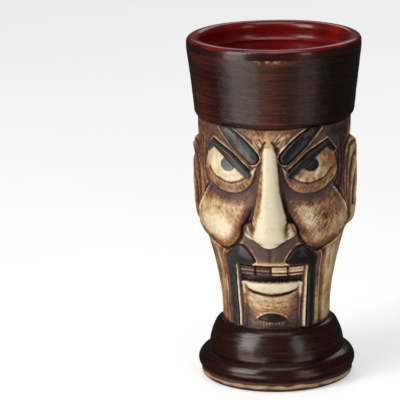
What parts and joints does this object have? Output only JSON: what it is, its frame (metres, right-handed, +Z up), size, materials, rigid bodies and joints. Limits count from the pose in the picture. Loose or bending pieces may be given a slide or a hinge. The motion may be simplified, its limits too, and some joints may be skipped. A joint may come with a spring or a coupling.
{
  "type": "tiki mug",
  "caption": "Tall handleless ceramic drinking mug shaped as a moustached carved head under a flared hat, on a stepped round base.",
  "frame": {"origin": "centre of the foot's flat resting face, on the mug's turning axis", "axes": "+Z up through the mouth of the mug, -Y the way the face looks, +X the figure's own left side"},
  "size_m": [0.085, 0.0867, 0.17],
  "materials": {
    "cream_glaze": "satin",
    "brown_glaze": "gloss",
    "red_glaze": "gloss",
    "black_glaze": "gloss",
    "bare_clay": "matte"
  },
  "bodies": {
    "root": {"floor_disc": "bare_clay", "foot_ring": "bare_clay", "lower_base_ring": "brown_glaze", "upper_base_ring": "brown_glaze", "hat_band": "brown_glaze", "head_shell": "cream_glaze", "rim_lip": "red_glaze", "liner_glaze": "red_glaze", "nose": "cream_glaze", "upper_teeth": "cream_glaze", "lower_lip": "cream_glaze", "soul_patch": "black_glaze", "left_eyebrow": "black_glaze", "left_upper_lid": "black_glaze", "left_eyeball": "cream_glaze", "left_pupil": "black_glaze", "left_lower_lid": "cream_glaze", "left_cheek": "cream_glaze", "left_moustache": "black_glaze", "left_ear": "cream_glaze", "right_eyebrow": "black_glaze", "right_upper_lid": "black_glaze", "right_eyeball": "cream_glaze", "right_pupil": "black_glaze", "right_lower_lid": "cream_glaze", "right_cheek": "cream_glaze", "right_moustache": "black_glaze", "right_ear": "cream_glaze"}
  },
  "joints": []
}
